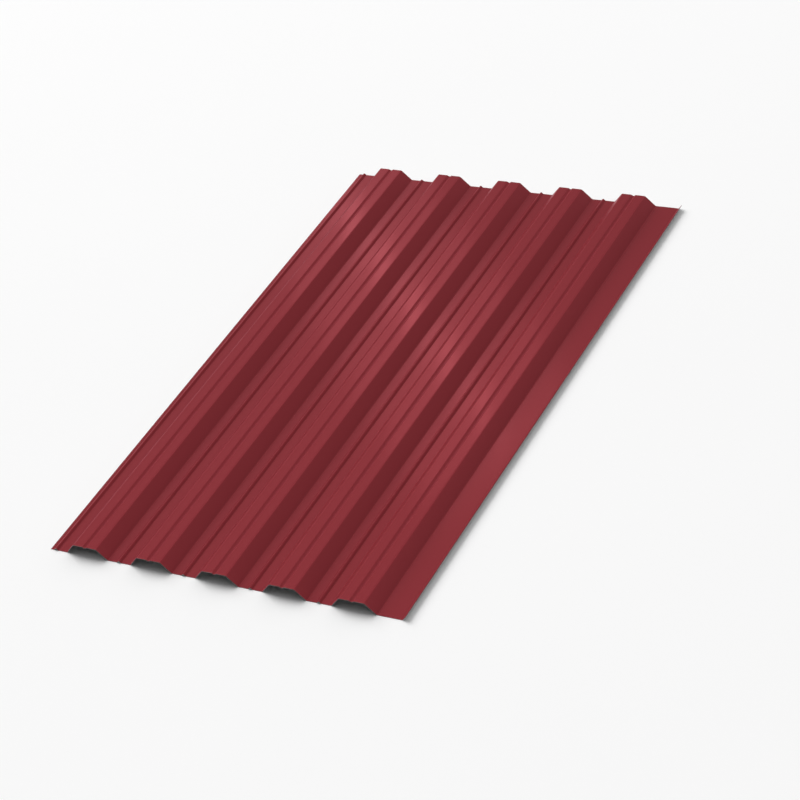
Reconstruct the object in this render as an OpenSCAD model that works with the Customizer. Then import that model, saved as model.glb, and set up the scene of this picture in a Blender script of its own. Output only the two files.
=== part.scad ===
// Roll-formed trapezoidal metal sheet, lying flat with its ridges up.
// X runs across the ridges, Y along them and Z up.
// The origin lies under the middle of the sheet, level with the underside of the bottom flanges.
// Widths and heights of the section are measured at the middle of the metal, from corner to corner.

/* [Section] */
// Number of ridges across the sheet
ridges = 5; // [1:1:8]
// Width of the top of a ridge
top_flange = 72; // [40:0.5:110]
// Width of the valley between two ridges
bottom_flange = 71; // [40:0.5:110]
// Sideways run of a sloping web
web_run = 28.5; // [5:0.5:60]
// Height of a ridge above the valleys
ridge_height = 31; // [15:0.5:60]

/* [Ribs in the valleys] */
// Width of a rib's crest
rib_crest = 2.5; // [2:0.1:8]
// Sideways run of a rib's side
rib_run = 5; // [2:0.1:8]
// Height of a rib above its valley
rib_height = 5; // [1:0.1:10]

/* [Grooves in the ridges] */
// Width of a groove's floor
groove_floor = 2.5; // [2:0.1:8]
// Sideways run of a groove's side
groove_run = 5.5; // [2:0.1:8]
// Depth of a groove below its ridge top
groove_depth = 3.5; // [1:0.1:10]

/* [Edges] */
// Distance from the left edge to the middle of the first rib
left_margin = 17.5; // [14:0.5:60]
// Width of the plain flange at the right edge
right_flange = 71; // [30:0.5:110]
// Height of the lip that turns up at the right edge, on the slope of a web
lip_height = 13; // [5:0.5:15]

/* [Metal] */
// Length of the sheet along its ridges
sheet_length = 1735; // [300:1:6000]
// Thickness of the metal with its coats
sheet_t = 0.7; // [0.4:0.05:1.2]
// Radius of the bends at the webs and the lip, at the middle of the metal
web_bend_r = 6; // [1:0.1:10]
// Radius of the bends of the ribs and grooves, at the middle of the metal
stiffener_bend_r = 3; // [1:0.1:5]
// Number of flats that round a bend
bend_flats = 6; // [2:1:8]

/* [Hidden] */
// The part of a flat that a bend at one of its ends may take up
BEND_SHARE = 0.45;

// Distance between two ridges
pitch = top_flange + bottom_flange + 2 * web_run;
// Place of the first ridge's left foot, from the left edge
first_foot = left_margin + bottom_flange / 2;
// Place of the last ridge's right foot
last_foot = first_foot + ridges * pitch - bottom_flange;
// Place of the lip's foot and the lip's sideways run
lip_foot = last_foot + right_flange;
lip_run = lip_height * web_run / ridge_height;
// Width over all, with the outer face of the lip
lip_angle = atan2(ridge_height, web_run);
overall_width = lip_foot + lip_run + sheet_t / 2 * sin(lip_angle);

// A corner of the section is its place across, its height and the radius of its bend.
// Corners of a rib, or of a groove where the rise is negative, about its middle at x and z
function stiffener(x, z, crest, run, rise) = [
    [x - crest / 2 - run, z, stiffener_bend_r],
    [x - crest / 2, z + rise, stiffener_bend_r],
    [x + crest / 2, z + rise, stiffener_bend_r],
    [x + crest / 2 + run, z, stiffener_bend_r]
];

// Corners of one ridge with its groove, from its left foot at x to its right foot
function ridge(x) = concat(
    [[x, 0, web_bend_r], [x + web_run, ridge_height, web_bend_r]],
    stiffener(x + web_run + top_flange / 2, ridge_height, groove_floor, groove_run, -groove_depth),
    [[x + web_run + top_flange, ridge_height, web_bend_r], [x + 2 * web_run + top_flange, 0, web_bend_r]]
);

// Corners of the whole section, from the left edge to the tip of the lip
function section_corners() = concat(
    [[0, 0, 0]],
    [for (k = [0 : ridges - 1])
        let (foot = first_foot + k * pitch)
        each concat(
            stiffener(foot - bottom_flange / 2, 0, rib_crest, rib_run, rib_height),
            ridge(foot)
        )],
    [[lip_foot, 0, web_bend_r], [lip_foot + lip_run, lip_height, 0]]
);

// Place of a corner without the radius of its bend
function place(corner) = [corner.x, corner.y];

function unit(v) = v / norm(v);

// The direction v turned a quarter to the left
function left_of(v) = [-v.y, v.x];

// The direction v turned by an angle to the left
function turned(v, angle) = v * cos(angle) + left_of(v) * sin(angle);

// Stations round the bend at a corner, between the corners before and after it.
// A station is a point at the middle of the metal and the direction of its upper face there.
function bend_stations(before, corner, after) =
    let (
        a = place(before),
        p = place(corner),
        b = place(after),
        u = unit(p - a),
        v = unit(b - p),
        angle = atan2(u.x * v.y - u.y * v.x, u * v),
        room = BEND_SHARE * min(norm(p - a), norm(b - p)),
        r = min(corner.z, room / tan(abs(angle) / 2)),
        side = sign(angle),
        centre = p - u * r * tan(abs(angle) / 2) + left_of(u) * side * r
    )
    [for (i = [0 : bend_flats])
        let (up = turned(left_of(u), angle * i / bend_flats))
        [centre - up * side * r, up]];

// Stations along the whole section
function section_stations() =
    let (
        c = section_corners(),
        last = len(c) - 1,
        first_up = left_of(unit(place(c[1]) - place(c[0]))),
        last_up = left_of(unit(place(c[last]) - place(c[last - 1])))
    )
    concat(
        [[place(c[0]), first_up]],
        [for (i = [1 : last - 1]) each bend_stations(c[i - 1], c[i], c[i + 1])],
        [[place(c[last]), last_up]]
    );

// Closed outline of the metal: along the upper face and back along the lower one
module section() {
    stations = section_stations();
    count = len(stations);
    upper = [for (s = stations) s[0] + s[1] * sheet_t / 2];
    lower = [for (i = [count - 1 : -1 : 0]) stations[i][0] - stations[i][1] * sheet_t / 2];
    polygon(concat(upper, lower));
}

module profiled_sheet() {
    color("#8a353b")
        rotate([90, 0, 0])
            linear_extrude(height = sheet_length, center = true)
                translate([-overall_width / 2, sheet_t / 2])
                    section();
}

profiled_sheet();
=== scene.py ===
"""Looks of a roll-formed steel sheet with five ridges, coated dark red, on a pale studio floor.

X runs across the ridges, Y along them and Z up. Lengths are in metres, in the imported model's frame.
"""

import logging
import math
from dataclasses import dataclass, field
from enum import Enum, IntEnum

import bpy
import numpy as np
from mathutils import Matrix, Vector


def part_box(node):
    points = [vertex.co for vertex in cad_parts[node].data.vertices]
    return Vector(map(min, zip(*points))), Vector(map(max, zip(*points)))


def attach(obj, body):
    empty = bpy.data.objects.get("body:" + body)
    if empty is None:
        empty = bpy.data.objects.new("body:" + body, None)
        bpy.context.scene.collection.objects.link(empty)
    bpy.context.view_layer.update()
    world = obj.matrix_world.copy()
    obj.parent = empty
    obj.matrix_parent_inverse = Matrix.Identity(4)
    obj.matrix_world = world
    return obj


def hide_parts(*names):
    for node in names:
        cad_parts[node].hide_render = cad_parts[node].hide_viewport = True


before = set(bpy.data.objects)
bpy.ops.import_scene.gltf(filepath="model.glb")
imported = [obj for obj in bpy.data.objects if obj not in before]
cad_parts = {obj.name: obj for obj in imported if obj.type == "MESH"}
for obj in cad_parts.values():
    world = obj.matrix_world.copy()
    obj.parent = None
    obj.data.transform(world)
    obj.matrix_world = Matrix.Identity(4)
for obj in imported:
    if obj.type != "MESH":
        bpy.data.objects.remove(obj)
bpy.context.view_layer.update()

LOG = logging.getLogger("profiled_sheet")
NODE = "profiled_sheet"
BODY = "root"
# Name of the mesh's value for how far the coat is drawn on bends and webs, from 0 to 1
DRAWN = "drawn"

Colour = tuple[float, float, float]
Factors = tuple[float, float, float]
Socket = bpy.types.NodeSocket

WHITE: Colour = (1.0, 1.0, 1.0)
UP = Vector((0.0, 0.0, 1.0))


class Surface(IntEnum):
    """Faces of the sheet that have a finish of their own, by material slot."""

    TOP_COAT = 0
    BACK_COAT = 1
    CUT_EDGE = 2


class PanelShape(Enum):
    """Outlines of a light panel, by Blender's names."""

    RECTANGLE = "RECTANGLE"
    ELLIPSE = "ELLIPSE"


class Grain(Enum):
    """How many finer layers a noise has."""

    PLAIN = 1.0
    SOFT = 2.0
    FINE = 3.0


class NodeBench:
    """Adds nodes to one node tree and links them."""

    def __init__(self, tree: bpy.types.NodeTree) -> None:
        """Clears the tree, so that it starts from nothing."""
        self.tree = tree
        self.tree.nodes.clear()

    def add(
        self, kind: str, inputs: dict[str, object] | None = None, **settings: object
    ) -> bpy.types.Node:
        """Adds a node.

        Args:
            kind: Blender's name for the kind of node.
            inputs: Values of the node's own sockets, by their names.
            **settings: Plain properties of the node.

        Returns:
            The new node.
        """
        node = self.tree.nodes.new(kind)
        for name, value in settings.items():
            setattr(node, name, value)
        for name, value in (inputs or {}).items():
            node.inputs[name].default_value = value
        return node

    def link(self, source: Socket, target: Socket) -> None:
        """Joins an output socket to an input socket."""
        self.tree.links.new(source, target)

    def show(self, shader: bpy.types.Node, output: str) -> None:
        """Joins a shader to a new output node of the given kind."""
        self.link(shader.outputs[0], self.add(output).inputs["Surface"])

    def noise(self, vector: Socket, scale: float, grain: Grain) -> Socket:
        """Adds a noise.

        Args:
            vector: Coordinates that the noise follows.
            scale: Number of features in a metre, about.
            grain: Finer layers of the noise.

        Returns:
            The noise's factor, from 0 to 1.
        """
        node = self.add("ShaderNodeTexNoise", {"Scale": scale, "Detail": grain.value})
        self.link(vector, node.inputs["Vector"])
        return node.outputs[0]

    def streaks(self, vector: Socket, scales: Factors) -> Socket:
        """Adds a noise that is drawn out along one way.

        Args:
            vector: Coordinates that the streaks follow.
            scales: Number of features in a metre along X, Y and Z, about.

        Returns:
            The streaks' factor, from 0 to 1.
        """
        # The mapping holds the whole scale, so the noise adds none.
        node = self.add("ShaderNodeMapping", {"Scale": scales})
        self.link(vector, node.inputs["Vector"])
        return self.noise(node.outputs[0], 1.0, Grain.FINE)

    def weigh(self, factor: Socket, low: float, high: float) -> Socket:
        """Spreads a factor from 0 to 1 over a range.

        Args:
            factor: The factor.
            low: Result at 0.
            high: Result at 1.

        Returns:
            The spread value.
        """
        node = self.add("ShaderNodeMapRange", {"To Min": low, "To Max": high})
        self.link(factor, node.inputs["Value"])
        return node.outputs[0]

    def varied(self, factor: Socket, middle: float, spread: float) -> Socket:
        """Returns a value that a factor from 0 to 1 moves about its middle."""
        return self.weigh(factor, middle - spread, middle + spread)

    def share(self, vector: Socket, axis: str, low: float, high: float) -> Socket:
        """Tells how far a vector reaches between two limits along one axis.

        Args:
            vector: The vector.
            axis: Name of the axis.
            low: Reach at which the result is 0.
            high: Reach at which it is 1.

        Returns:
            The share of the way from one limit to the other, from 0 to 1.
        """
        parts = self.add("ShaderNodeSeparateXYZ")
        self.link(vector, parts.inputs[0])
        node = self.add("ShaderNodeMapRange", {"From Min": low, "From Max": high})
        self.link(parts.outputs[axis], node.inputs["Value"])
        return node.outputs[0]

    def blend(self, factor: Socket, first: Socket, second: Socket) -> Socket:
        """Goes from one varying value to another.

        Args:
            factor: Share of the second value, held between 0 and 1.
            first: Value at 0.
            second: Value at 1.

        Returns:
            The blended value.
        """
        node = self.add("ShaderNodeMapRange")
        self.link(factor, node.inputs["Value"])
        self.link(first, node.inputs["To Min"])
        self.link(second, node.inputs["To Max"])
        return node.outputs[0]

    def sum(self, first: Socket, second: Socket) -> Socket:
        """Adds two varying values.

        Args:
            first: One value.
            second: The other value.

        Returns:
            Their sum.
        """
        node = self.add("ShaderNodeMath", operation="ADD")
        self.link(first, node.inputs[0])
        self.link(second, node.inputs[1])
        return node.outputs[0]

    def mean(self, first: Socket, second: Socket) -> Socket:
        """Returns the mean of two factors from 0 to 1."""
        return self.sum(self.weigh(first, 0.0, 0.5), self.weigh(second, 0.0, 0.5))

    def shade(self, factor: Socket, dark: Colour, light: Colour) -> Socket:
        """Blends two tones.

        Args:
            factor: Share of the light tone, from 0 to 1.
            dark: Tone at 0.
            light: Tone at 1.

        Returns:
            The blended colour.
        """
        node = self.add("ShaderNodeValToRGB")
        node.color_ramp.elements[0].color = (*dark, 1.0)
        node.color_ramp.elements[1].color = (*light, 1.0)
        self.link(factor, node.inputs[0])
        return node.outputs[0]

    def mottled(self, factor: Socket, colour: Colour, spread: float) -> Socket:
        """Returns a colour that a factor makes darker or lighter by up to a share of itself."""
        return self.shade(factor, tone(colour, -spread), tone(colour, spread))

    def bump(self, height: Socket, depth: float, strength: float = 1.0) -> Socket:
        """Adds fine relief.

        Args:
            height: Height of the relief, from 0 to 1.
            depth: Real depth of the relief.
            strength: Share of the relief that shows.

        Returns:
            The bumped normal.
        """
        node = self.add("ShaderNodeBump", {"Distance": depth, "Strength": strength})
        self.link(height, node.inputs["Height"])
        return node.outputs[0]


def tone(colour: Colour, share: float) -> Colour:
    """Returns a colour made lighter or darker by a share of itself."""
    return tuple(channel * (1.0 + share) for channel in colour)


def blank_material(name: str) -> tuple[bpy.types.Material, NodeBench]:
    """Starts a material.

    Args:
        name: The material's name.

    Returns:
        The material, and the bench for its nodes.
    """
    made = bpy.data.materials.new(name)
    made.use_nodes = True
    return made, NodeBench(made.node_tree)


@dataclass(frozen=True)
class RedPolyester:
    """Dark red polyester coat with metal flakes, baked on the strip before it is rolled.

    Rolling leaves fine marks along the sheet, and dulls the coat on the bends and webs, where it
    draws it out. A thin haze dulls the coat low in the valleys, and shade is painted there as a
    darker colour.
    """

    name: str = "red_polyester_coat"
    colour: Colour = (0.335, 0.0308, 0.0397)
    tone_spread: float = 0.035
    flake: float = 0.5
    gloss: float = 0.5
    gloss_tint: Colour = (0.9, 0.75, 0.85)
    roughness: float = 0.105
    roughness_spread: float = 0.015
    drawn_dulling: float = 0.35
    # Painted shade: low in the valleys the colour is made darker, and a haze dulls the coat there
    valley_shade_and_haze_top: float = 0.012
    valley_painted_shade: float = 0.05
    haze_dulling: float = 0.03
    cloud_scale: float = 2.4
    fleck_scale: float = 900.0
    mark_scales: Factors = (160.0, 0.9, 160.0)
    peel_scale: float = 330.0
    peel_depth: float = 0.00001

    def material(self) -> bpy.types.Material:
        """Builds the coat's material.

        Returns:
            The material.
        """
        made, bench = blank_material(self.name)
        place = bench.add("ShaderNodeTexCoord").outputs["Object"]
        cloud = bench.noise(place, self.cloud_scale, Grain.SOFT)
        fleck = bench.noise(place, self.fleck_scale, Grain.SOFT)
        marks = bench.streaks(place, self.mark_scales)
        drawn = bench.add("ShaderNodeAttribute", attribute_name=DRAWN).outputs["Fac"]
        # Share of the height from the valley floor up to where the painted valley shade and the haze
        # end
        clear = bench.share(place, "Z", 0.0, self.valley_shade_and_haze_top)
        span = 2.0 * self.tone_spread + self.valley_painted_shade
        part = self.tone_spread / span
        mottle_and_painted_shade = bench.sum(bench.weigh(cloud, 0.0, part), bench.weigh(fleck, 0.0, part))
        # Painted shade: the valleys low down are given a darker colour
        mottle_and_painted_shade = bench.sum(mottle_and_painted_shade, bench.weigh(clear, 0.0, self.valley_painted_shade / span))
        darkest = tone(self.colour, self.tone_spread - span)
        base = bench.shade(mottle_and_painted_shade, darkest, tone(self.colour, self.tone_spread))
        worn = bench.varied(marks, self.roughness, self.roughness_spread)
        worn = bench.sum(worn, bench.weigh(drawn, 0.0, self.drawn_dulling))
        worn = bench.sum(worn, bench.weigh(clear, self.haze_dulling, 0.0))
        peel = bench.bump(bench.noise(place, self.peel_scale, Grain.PLAIN), self.peel_depth)
        shader = bench.add("ShaderNodeBsdfPrincipled", {
            "Metallic": self.flake,
            "Specular IOR Level": self.gloss,
            "Specular Tint": (*self.gloss_tint, 1.0),
        })
        bench.link(base, shader.inputs["Base Color"])
        bench.link(worn, shader.inputs["Roughness"])
        bench.link(peel, shader.inputs["Normal"])
        bench.show(shader, "ShaderNodeOutputMaterial")
        return made


@dataclass(frozen=True)
class GreyBackCoat:
    """Thin grey epoxy coat on the underside, with fine marks from rolling."""

    name: str = "grey_back_coat"
    colour: Colour = (0.20, 0.205, 0.205)
    tone_spread: float = 0.06
    roughness: float = 0.48
    roughness_spread: float = 0.06
    ior: float = 1.5
    cloud_scale: float = 3.0
    fleck_scale: float = 700.0
    mark_scales: Factors = (140.0, 0.8, 140.0)
    peel_scale: float = 420.0
    peel_depth: float = 0.00002

    def material(self) -> bpy.types.Material:
        """Builds the back coat's material.

        Returns:
            The material.
        """
        made, bench = blank_material(self.name)
        place = bench.add("ShaderNodeTexCoord").outputs["Object"]
        cloud = bench.noise(place, self.cloud_scale, Grain.FINE)
        fleck = bench.noise(place, self.fleck_scale, Grain.SOFT)
        marks = bench.streaks(place, self.mark_scales)
        base = bench.mottled(bench.mean(cloud, fleck), self.colour, self.tone_spread)
        worn = bench.varied(marks, self.roughness, self.roughness_spread)
        peel = bench.bump(bench.noise(place, self.peel_scale, Grain.PLAIN), self.peel_depth)
        shader = bench.add("ShaderNodeBsdfPrincipled", {"IOR": self.ior})
        bench.link(base, shader.inputs["Base Color"])
        bench.link(worn, shader.inputs["Roughness"])
        bench.link(peel, shader.inputs["Normal"])
        bench.show(shader, "ShaderNodeOutputMaterial")
        return made


@dataclass(frozen=True)
class CutZincEdge:
    """Bare zinc and steel where the strip was slit and the sheet was sheared to length."""

    name: str = "cut_zinc_edge"
    colour: Colour = (0.30, 0.29, 0.29)
    tone_spread: float = 0.2
    roughness: float = 0.42
    roughness_spread: float = 0.1
    shear_scale: float = 900.0
    burr_depth: float = 0.00005
    burr_share: float = 0.6

    def material(self) -> bpy.types.Material:
        """Builds the cut edge's material.

        Returns:
            The material.
        """
        made, bench = blank_material(self.name)
        place = bench.add("ShaderNodeTexCoord").outputs["Object"]
        shear = bench.noise(place, self.shear_scale, Grain.FINE)
        base = bench.mottled(shear, self.colour, self.tone_spread)
        worn = bench.varied(shear, self.roughness, self.roughness_spread)
        burr = bench.bump(shear, self.burr_depth, self.burr_share)
        shader = bench.add("ShaderNodeBsdfPrincipled", {"Metallic": 1.0})
        bench.link(base, shader.inputs["Base Color"])
        bench.link(worn, shader.inputs["Roughness"])
        bench.link(burr, shader.inputs["Normal"])
        bench.show(shader, "ShaderNodeOutputMaterial")
        return made


@dataclass(frozen=True)
class PaleFloorPaint:
    """Matt off-white floor paint, faintly uneven in tone."""

    name: str = "pale_floor_paint"
    colour: Colour = (0.98, 0.98, 0.98)
    tone_spread: float = 0.008
    cloud_scale: float = 0.7

    def material(self) -> bpy.types.Material:
        """Builds the floor's material.

        Returns:
            The material.
        """
        made, bench = blank_material(self.name)
        place = bench.add("ShaderNodeTexCoord").outputs["Object"]
        cloud = bench.noise(place, self.cloud_scale, Grain.SOFT)
        base = bench.mottled(cloud, self.colour, self.tone_spread)
        shader = bench.add("ShaderNodeBsdfDiffuse")
        bench.link(base, shader.inputs["Color"])
        bench.show(shader, "ShaderNodeOutputMaterial")
        return made


@dataclass(frozen=True)
class Corner:
    """A corner of the section at the middle of the metal, with the radius of its bend."""

    x: float
    z: float
    radius: float


@dataclass(frozen=True)
class Station:
    """A place along the section: a point at the middle of the metal and its upward direction."""

    x: float
    z: float
    up_x: float
    up_z: float


@dataclass(frozen=True)
class Stiffener:
    """A small rib, or a groove where the rise is negative, rolled along the middle of a flange."""

    flat: float
    run: float
    rise: float
    radius: float


@dataclass(frozen=True)
class Flange:
    """A level strip of the section between two webs, with the height of its crown."""

    middle: float
    half_width: float
    crown: float


def unit(vector: np.ndarray) -> np.ndarray:
    """Returns a vector's direction, with a length of 1."""
    return vector / np.linalg.norm(vector)


@dataclass
class RolledSection:
    """Section of the sheet across its ridges.

    Its sizes are measured at the middle of the metal, from corner to corner. A bend takes up no
    more than the bend share of the flats beside it.
    """

    ridges: int = 5
    top_flange: float = 0.072
    bottom_flange: float = 0.071
    web_run: float = 0.0285
    ridge_height: float = 0.031
    rib: Stiffener = Stiffener(flat=0.0025, run=0.005, rise=0.005, radius=0.003)
    groove: Stiffener = Stiffener(flat=0.0025, run=0.0055, rise=-0.0035, radius=0.003)
    left_margin: float = 0.0175
    right_flange: float = 0.071
    lip_height: float = 0.013
    thickness: float = 0.0007
    web_bend_r: float = 0.006
    bend_share: float = 0.45
    bend_steps: int = 6
    flat_step: float = 0.012
    top_crown: float = 0.00026
    bottom_crown: float = 0.00018

    @property
    def pitch(self) -> float:
        """Distance between two ridges."""
        return self.top_flange + self.bottom_flange + 2.0 * self.web_run

    @property
    def first_foot(self) -> float:
        """Place of the first ridge's left foot, from the left edge."""
        return self.left_margin + self.bottom_flange / 2.0

    @property
    def lip_foot(self) -> float:
        """Place of the lip's foot, from the left edge."""
        return self.first_foot + self.ridges * self.pitch - self.bottom_flange + self.right_flange

    @property
    def lip_run(self) -> float:
        """Sideways run of the lip, which has the slope of a web."""
        return self.lip_height * self.web_run / self.ridge_height

    @property
    def width(self) -> float:
        """Width over all, with the outer face of the lip."""
        slope = math.atan2(self.ridge_height, self.web_run)
        return self.lip_foot + self.lip_run + self.thickness / 2.0 * math.sin(slope)

    def stiffener(self, shape: Stiffener, x: float, z: float) -> list[Corner]:
        """Gives the corners of a rib or a groove.

        Args:
            shape: The rib or groove.
            x: Place of its middle.
            z: Height of the flange that it is rolled in.

        Returns:
            Its four corners from left to right.
        """
        half = shape.flat / 2.0
        foot = half + shape.run
        level = ((-foot, z), (-half, z + shape.rise), (half, z + shape.rise), (foot, z))
        return [Corner(x + step, height, shape.radius) for step, height in level]

    def ridge(self, x: float) -> list[Corner]:
        """Gives the corners of a ridge with its groove.

        Args:
            x: Place of its left foot.

        Returns:
            Its corners from left to right.
        """
        left = x + self.web_run
        right = left + self.top_flange
        top = self.ridge_height
        groove = self.stiffener(self.groove, (left + right) / 2.0, top)
        bend = self.web_bend_r
        rising = [Corner(x, 0.0, bend), Corner(left, top, bend)]
        falling = [Corner(right, top, bend), Corner(right + self.web_run, 0.0, bend)]
        return rising + groove + falling

    def corners(self) -> list[Corner]:
        """Gives the corners of the whole section.

        Returns:
            The corners from the left edge to the tip of the lip.
        """
        found = [Corner(0.0, 0.0, 0.0)]
        for step in range(self.ridges):
            foot = self.first_foot + step * self.pitch
            found += self.stiffener(self.rib, foot - self.bottom_flange / 2.0, 0.0)
            found += self.ridge(foot)
        found.append(Corner(self.lip_foot, 0.0, self.web_bend_r))
        found.append(Corner(self.lip_foot + self.lip_run, self.lip_height, 0.0))
        return found

    def flanges(self) -> list[Flange]:
        """Gives the level strips of the section.

        Returns:
            The strips from left to right, each with its crown.
        """
        found = []
        for step in range(self.ridges):
            foot = self.first_foot + step * self.pitch
            valley = foot - self.bottom_flange / 2.0
            ridge = foot + self.web_run + self.top_flange / 2.0
            found.append(Flange(valley, self.bottom_flange / 2.0, self.bottom_crown))
            found.append(Flange(ridge, self.top_flange / 2.0, self.top_crown))
        last = self.lip_foot - self.right_flange / 2.0
        found.append(Flange(last, self.right_flange / 2.0, self.bottom_crown))
        return found

    def bend(self, before: Corner, corner: Corner, after: Corner) -> list[Station]:
        """Rounds one corner.

        Args:
            before: The corner before it.
            corner: The corner.
            after: The corner after it.

        Returns:
            Stations round the bend.
        """
        point = np.array((corner.x, corner.z))
        coming = point - (before.x, before.z)
        going = np.array((after.x, after.z)) - point
        room = self.bend_share * min(np.linalg.norm(coming), np.linalg.norm(going))
        coming = unit(coming)
        going = unit(going)
        angle = math.atan2(coming[0] * going[1] - coming[1] * going[0], float(coming @ going))
        half_tangent = math.tan(abs(angle) / 2.0)
        radius = min(corner.radius, room / half_tangent)
        side = math.copysign(1.0, angle)
        left = np.array((-coming[1], coming[0]))
        centre = point - coming * radius * half_tangent + left * side * radius
        stations = []
        for step in range(self.bend_steps + 1):
            share = step / self.bend_steps
            turned = left * math.cos(angle * share) - coming * math.sin(angle * share)
            place = centre - turned * side * radius
            stations.append(Station(place[0], place[1], turned[0], turned[1]))
        return stations

    def stations(self) -> list[Station]:
        """Gives stations along the whole section.

        Returns:
            The stations from left to right, close together in bends and at even steps on flats.
        """
        corners = self.corners()
        start, foot, end = corners[0], corners[-2], corners[-1]
        tip = unit(np.array((end.x - foot.x, end.z - foot.z)))
        marks = [Station(start.x, start.z, 0.0, 1.0)]
        for before, corner, after in zip(corners, corners[1:], corners[2:]):
            marks += self.bend(before, corner, after)
        marks.append(Station(end.x, end.z, -tip[1], tip[0]))
        filled = [marks[0]]
        for last, mark in zip(marks, marks[1:]):
            distance = math.hypot(mark.x - last.x, mark.z - last.z)
            steps = max(1, math.ceil(distance / self.flat_step))
            for step in range(1, steps):
                share = step / steps
                x = last.x + (mark.x - last.x) * share
                z = last.z + (mark.z - last.z) * share
                filled.append(Station(x, z, mark.up_x, mark.up_z))
            filled.append(mark)
        return filled


def quads(*corners: np.ndarray) -> np.ndarray:
    """Returns faces of four points each, from the arrays of their first to fourth points."""
    return np.stack(corners, axis=-1).reshape(-1, len(corners))


@dataclass
class CoatedSheet:
    """The coated sheet, with the slight crown and waves that rolling leaves in its flanges.

    The coat counts as fully drawn where the sideways part of the upward direction reaches steep.
    """

    section: RolledSection = field(default_factory=RolledSection)
    name: str = "coated_sheet"
    row_step: float = 0.04
    wave: float = 0.00003
    wave_lengths: tuple[float, float] = (0.62, 0.37)
    wave_turn: float = 2.4
    steep: float = 0.25

    def relief(self, x: np.ndarray, y: np.ndarray) -> tuple[np.ndarray, np.ndarray, np.ndarray]:
        """Works out how far rolling lifts the flanges.

        Args:
            x: Places across the sheet from its left edge, one for each column.
            y: Places along the sheet, one for each row.

        Returns:
            The lift, its slope across the sheet and its slope along it, by row and column.
        """
        lift = np.zeros((len(y), len(x)))
        across = np.zeros_like(lift)
        along = np.zeros_like(lift)
        for count, flange in enumerate(self.section.flanges()):
            share = (x - flange.middle) / flange.half_width
            inside = np.abs(share) < 1.0
            bulge = np.where(inside, 1.0 - share**2, 0.0)
            tilt = np.where(inside, -2.0 * share / flange.half_width, 0.0)
            height = np.full(len(y), flange.crown)
            slope = np.zeros(len(y))
            for length in self.wave_lengths:
                angle = 2.0 * math.pi * y / length + self.wave_turn * count
                height += self.wave * np.sin(angle)
                slope += self.wave * 2.0 * math.pi / length * np.cos(angle)
            lift += np.outer(height, bulge)
            across += np.outer(height, tilt)
            along += np.outer(slope, bulge)
        return lift, across, along

    def build(self) -> bpy.types.Object:
        """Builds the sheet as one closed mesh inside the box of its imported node.

        Returns:
            The sheet's object.
        """
        low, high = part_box(NODE)
        stations = self.section.stations()
        half_thickness = self.section.thickness / 2.0
        x = np.array([station.x for station in stations])
        z = np.array([station.z for station in stations]) + half_thickness
        up = np.array([(station.up_x, station.up_z) for station in stations])
        rows = math.ceil((high.y - low.y) / self.row_step)
        y = np.linspace(low.y, high.y, rows + 1)
        lift, across, along = self.relief(x, y)

        middle = np.empty((len(y), len(x), 3))
        middle[..., 0] = x + low.x
        middle[..., 1] = y[:, None]
        middle[..., 2] = z + lift
        offset = np.zeros((1, len(x), 3))
        offset[..., 0] = up[:, 0] * half_thickness
        offset[..., 2] = up[:, 1] * half_thickness
        points = np.concatenate([middle + offset, middle - offset]).reshape(-1, 3)
        rise = np.broadcast_to(up[:, 1], along.shape)
        normals = np.stack([up[:, 0] - across * rise, -along * rise, rise], axis=-1)
        normals = normals / np.linalg.norm(normals, axis=-1, keepdims=True)

        faces, face_normals, surfaces = self.skin(normals, up)
        mesh = bpy.data.meshes.new(self.name)
        mesh.from_pydata(points.tolist(), [], faces.tolist())
        mesh.polygons.foreach_set("use_smooth", np.ones(len(faces), bool))
        mesh.polygons.foreach_set("material_index", surfaces)
        drawn = mesh.attributes.new(DRAWN, "FLOAT", "POINT")
        steepness = np.clip(np.abs(up[:, 0]) / self.steep, 0.0, 1.0)
        drawn.data.foreach_set("value", np.tile(steepness, 2 * len(y)).astype(np.float32))
        mesh.normals_split_custom_set(face_normals.reshape(-1, 3).tolist())
        mesh.validate(clean_customdata=False)
        mesh.update()
        piece = bpy.data.objects.new(self.name, mesh)
        bpy.context.scene.collection.objects.link(piece)
        return piece

    def skin(
        self, normals: np.ndarray, up: np.ndarray
    ) -> tuple[np.ndarray, np.ndarray, np.ndarray]:
        """Lays faces over the points: the two coats, the sheared ends and the slit edges.

        Args:
            normals: Direction of the upper face at each of its points, by row and column.
            up: Upward direction of the section at each column, in X and Z.

        Returns:
            The faces' points, the normals at the faces' corners, and the faces' surfaces.
        """
        rows, columns, _ = normals.shape
        grid = np.arange(rows * columns).reshape(rows, columns)
        under = grid + rows * columns
        top = quads(grid[:-1, :-1], grid[:-1, 1:], grid[1:, 1:], grid[1:, :-1])
        back = quads(under[:-1, :-1], under[1:, :-1], under[1:, 1:], under[:-1, 1:])
        near = quads(under[0, :-1], under[0, 1:], grid[0, 1:], grid[0, :-1])
        far = quads(under[-1, 1:], under[-1, :-1], grid[-1, :-1], grid[-1, 1:])
        left = quads(under[1:, 0], under[:-1, 0], grid[:-1, 0], grid[1:, 0])
        right = quads(under[:-1, -1], under[1:, -1], grid[1:, -1], grid[:-1, -1])
        cuts = (
            (near, (0.0, -1.0, 0.0)),
            (far, (0.0, 1.0, 0.0)),
            (left, (-up[0, 1], 0.0, up[0, 0])),
            (right, (up[-1, 1], 0.0, -up[-1, 0])),
        )
        faces = np.concatenate([top, back] + [strip for strip, _ in cuts])
        cut_normals = [np.tile(way, (len(strip), 4, 1)) for strip, way in cuts]
        both = np.concatenate([normals, -normals]).reshape(-1, 3)
        face_normals = np.concatenate([both[top], both[back]] + cut_normals)
        surfaces = np.full(len(faces), int(Surface.CUT_EDGE), np.int32)
        surfaces[: len(top)] = Surface.TOP_COAT
        surfaces[len(top) : len(top) + len(back)] = Surface.BACK_COAT
        return faces, face_normals, surfaces

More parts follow.
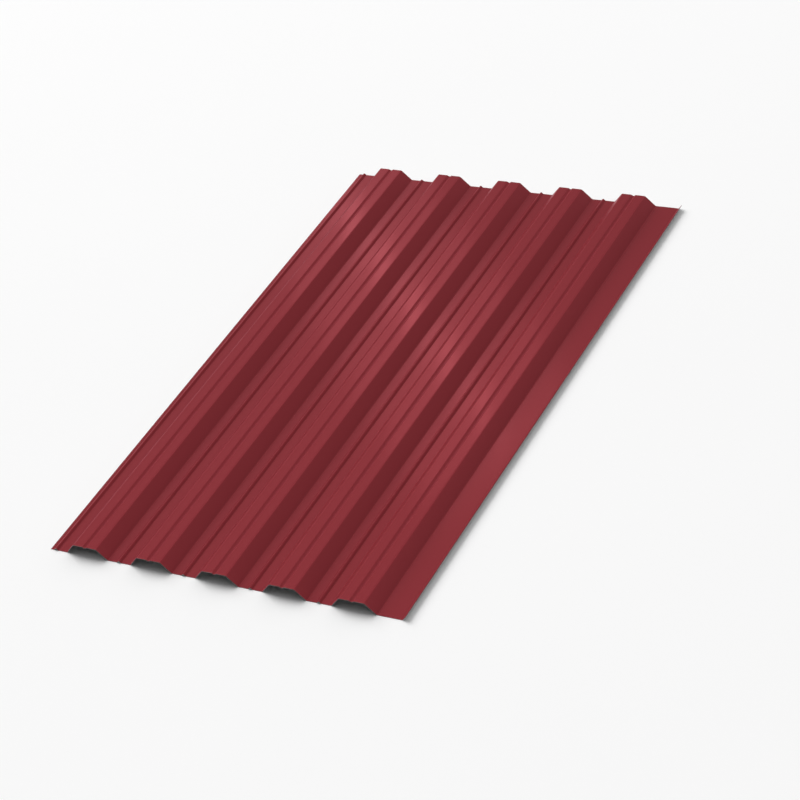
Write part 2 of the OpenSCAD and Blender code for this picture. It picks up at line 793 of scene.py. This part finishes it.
    def dress(self, piece: bpy.types.Object) -> None:
        """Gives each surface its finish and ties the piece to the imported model.

        Args:
            piece: The sheet's object.
        """
        finishes = {
            Surface.TOP_COAT: RedPolyester(),
            Surface.BACK_COAT: GreyBackCoat(),
            Surface.CUT_EDGE: CutZincEdge(),
        }
        for surface in sorted(finishes):
            piece.data.materials.append(finishes[surface].material())
        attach(piece, BODY)
        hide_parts(NODE)


@dataclass
class StudioFloor:
    """Plain pale floor under the sheet."""

    name: str = "studio_floor"
    half_size: float = 120.0

    def build(self) -> bpy.types.Object:
        """Builds the floor level with the underside of the sheet.

        Returns:
            The floor's object.
        """
        low, high = -self.half_size, self.half_size
        corners = [(low, low, 0.0), (high, low, 0.0), (high, high, 0.0), (low, high, 0.0)]
        mesh = bpy.data.meshes.new(self.name)
        mesh.from_pydata(corners, [], [(0, 1, 2, 3)])
        mesh.materials.append(PaleFloorPaint().material())
        floor = bpy.data.objects.new(self.name, mesh)
        bpy.context.scene.collection.objects.link(floor)
        return floor


def stood(place: Vector, side: Vector, back: Vector) -> Matrix:
    """Returns the matrix of a camera or lamp at a place, from its own X and Z directions."""
    axes = Matrix((side, back.cross(side), back)).transposed().to_4x4()
    return Matrix.Translation(place) @ axes


@dataclass
class StudioCamera:
    """Camera at the photograph's viewing angle, in degrees, with its lens in millimetres."""

    name: str = "studio_camera"
    aim: Vector = field(default_factory=lambda: Vector((0.1130, -0.0998, 0.0)))
    azimuth: float = 36.765
    elevation: float = 36.602
    distance: float = 6.8218
    roll: float = -15.201
    lens: float = 114.972
    sensor: float = 36.0

    @property
    def place(self) -> Vector:
        """Works out where the camera stands.

        Returns:
            Its place.
        """
        turn = math.radians(self.azimuth)
        rise = math.radians(self.elevation)
        reach = math.cos(rise)
        back = Vector((math.sin(turn) * reach, -math.cos(turn) * reach, math.sin(rise)))
        return self.aim + back * self.distance

    def build(self) -> bpy.types.Object:
        """Builds the camera and makes it the scene's own.

        Returns:
            The camera's object.
        """
        lens = bpy.data.cameras.new(self.name)
        lens.lens = self.lens
        lens.sensor_width = self.sensor
        camera = bpy.data.objects.new(self.name, lens)
        back = (self.place - self.aim).normalized()
        level = UP.cross(back).normalized()
        upright = back.cross(level)
        tip = math.radians(self.roll)
        side = level * math.cos(tip) + upright * math.sin(tip)
        camera.matrix_world = stood(self.place, side, back)
        bpy.context.scene.collection.objects.link(camera)
        bpy.context.scene.camera = camera
        return camera


@dataclass
class SoftPanel:
    """A level or tilted light panel with an even face, whose glow is its brightness: 1 is white."""

    name: str
    place: Vector
    aim: Vector
    length: float
    width: float
    glow: float
    along: Vector = field(default_factory=lambda: Vector((0.0, 1.0, 0.0)))
    shape: PanelShape = PanelShape.RECTANGLE
    shows_in_gloss: bool = True

    def build(self) -> bpy.types.Object:
        """Builds the panel, which the camera doesn't see.

        Returns:
            The panel's object.
        """
        lamp = bpy.data.lights.new(self.name, "AREA")
        lamp.shape = self.shape.value
        lamp.size = self.length
        lamp.size_y = self.width
        # The share of its length times its width that the outline fills
        fill = math.pi / 4.0 if self.shape is PanelShape.ELLIPSE else 1.0
        lamp.energy = self.glow * math.pi * self.length * self.width * fill
        panel = bpy.data.objects.new(self.name, lamp)
        back = (self.place - self.aim).normalized()
        side = (self.along - back * self.along.dot(back)).normalized()
        panel.matrix_world = stood(self.place, side, back)
        panel.visible_camera = False
        panel.visible_glossy = self.shows_in_gloss
        bpy.context.scene.collection.objects.link(panel)
        return panel


@dataclass
class StudioRoom:
    """Pale room round the stage, which sheds its light from behind.

    It looks evenly pale, but its back wall is mirrored a little dimmer. The back reach and the
    wall's start and end are parts of a direction along Y.
    """

    name: str = "studio_room"
    glow: float = 0.51
    back_light: float = 1.0
    back_reach: float = 0.7
    wall_start: float = 0.66
    wall_end: float = 0.73
    wall_share: float = 0.72

    def build(self) -> bpy.types.World:
        """Builds the room's light: what is seen of it, and what it sheds on matt surfaces.

        Returns:
            The scene's world.
        """
        world = bpy.data.worlds.new(self.name)
        world.use_nodes = True
        bench = NodeBench(world.node_tree)
        way = bench.add("ShaderNodeTexCoord").outputs["Generated"]
        behind = bench.share(way, "Y", -self.back_reach, self.back_reach)
        shed = bench.varied(behind, self.glow, self.glow * self.back_light)
        wall = bench.share(way, "Y", self.wall_start, self.wall_end)
        look = bench.weigh(wall, self.glow, self.glow * self.wall_share)
        path = bench.add("ShaderNodeLightPath").outputs
        mirrored = bench.sum(path["Is Glossy Ray"], path["Is Transmission Ray"])
        seen = bench.sum(path["Is Camera Ray"], mirrored)
        shader = bench.add("ShaderNodeBackground", {"Color": (*WHITE, 1.0)})
        bench.link(bench.blend(seen, shed, look), shader.inputs["Strength"])
        bench.show(shader, "ShaderNodeOutputWorld")
        bpy.context.scene.world = world
        return world


@dataclass
class StudioLight:
    """Soft studio light: a far key panel, and a strip and a bank that the flanges mirror.

    The strip's middle and way tell where on the sheet the camera sees the strip mirrored. Its
    reach, and the bank's, are shares of that length.
    """

    camera: StudioCamera
    key_way: Vector = field(default_factory=lambda: Vector((-0.71, 0.37, 0.60)))
    key_distance: float = 120.0
    key_size: float = 80.0
    key_share: float = 0.52
    strip_height: float = 3.0
    strip_middle: Vector = field(default_factory=lambda: Vector((-0.515, 0.7065, 0.031)))
    strip_way: Vector = field(default_factory=lambda: Vector((1.0, -0.925, 0.0)))
    strip_reach: float = 1.05
    strip_width: float = 0.13
    strip_glow: float = 0.85
    bank_lift: float = 0.02
    bank_reach: float = 1.1
    bank_width: float = 0.9
    bank_glow: float = 0.25

    def mirrored(self, spot: Vector) -> Vector:
        """Finds where a light hangs that the camera sees mirrored in a level spot.

        Args:
            spot: The spot on the sheet.

        Returns:
            The light's place.
        """
        ray = spot - self.camera.place
        rise = self.strip_height / -ray.z
        return Vector((spot.x + ray.x * rise, spot.y + ray.y * rise, spot.z + self.strip_height))

    def key(self) -> SoftPanel:
        """Gives the key panel, which lights the floor with its share of white and isn't mirrored.

        Returns:
            The panel.
        """
        way = self.key_way.normalized()
        power = self.key_share * math.pi * self.key_distance**2 / way.z
        return SoftPanel(
            name="key_panel",
            place=way * self.key_distance,
            aim=Vector((0.0, 0.0, 0.0)),
            length=self.key_size,
            width=self.key_size,
            glow=power / self.key_size**2,
            shows_in_gloss=False,
        )

    def panels(self) -> list[SoftPanel]:
        """Gives the light panels.

        Returns:
            The key panel, the strip, and the bank just above the strip.
        """
        start = self.mirrored(self.strip_middle - self.strip_way)
        end = self.mirrored(self.strip_middle + self.strip_way)
        middle = (start + end) / 2.0
        lifted = middle + UP * self.bank_lift
        half = (end - start) / 2.0
        strip = SoftPanel(
            name="gloss_strip",
            place=middle,
            aim=middle - UP,
            length=half.length * self.strip_reach * 2.0,
            width=self.strip_width,
            glow=self.strip_glow,
            along=half,
            shape=PanelShape.ELLIPSE,
        )
        bank = SoftPanel(
            name="gloss_bank",
            place=lifted,
            aim=lifted - UP,
            length=half.length * self.bank_reach * 2.0,
            width=self.bank_width,
            glow=self.bank_glow,
            along=half,
        )
        return [self.key(), strip, bank]

    def build(self) -> list[bpy.types.Object]:
        """Builds the panels and returns their objects."""
        return [panel.build() for panel in self.panels()]


def main() -> None:
    """Builds the stage and the sheet."""
    logging.basicConfig(level=logging.INFO, format="%(name)s: %(message)s")
    bpy.context.scene.view_settings.view_transform = "Standard"
    camera = StudioCamera()
    camera.build()
    floor = StudioFloor().build()
    LOG.info("floor %s", floor.name)
    room = StudioRoom().build()
    LOG.info("room %s", room.name)
    for panel in StudioLight(camera).build():
        LOG.info("light %s", panel.name)
    sheet = CoatedSheet()
    piece = sheet.build()
    sheet.dress(piece)
    mesh = piece.data
    LOG.info("piece %s: %d points, %d faces", piece.name, len(mesh.vertices), len(mesh.polygons))
    low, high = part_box(NODE)
    LOG.info("section %.4f wide, packed node %.4f wide", sheet.section.width, high.x - low.x)


if __name__ == "__main__":
    main()
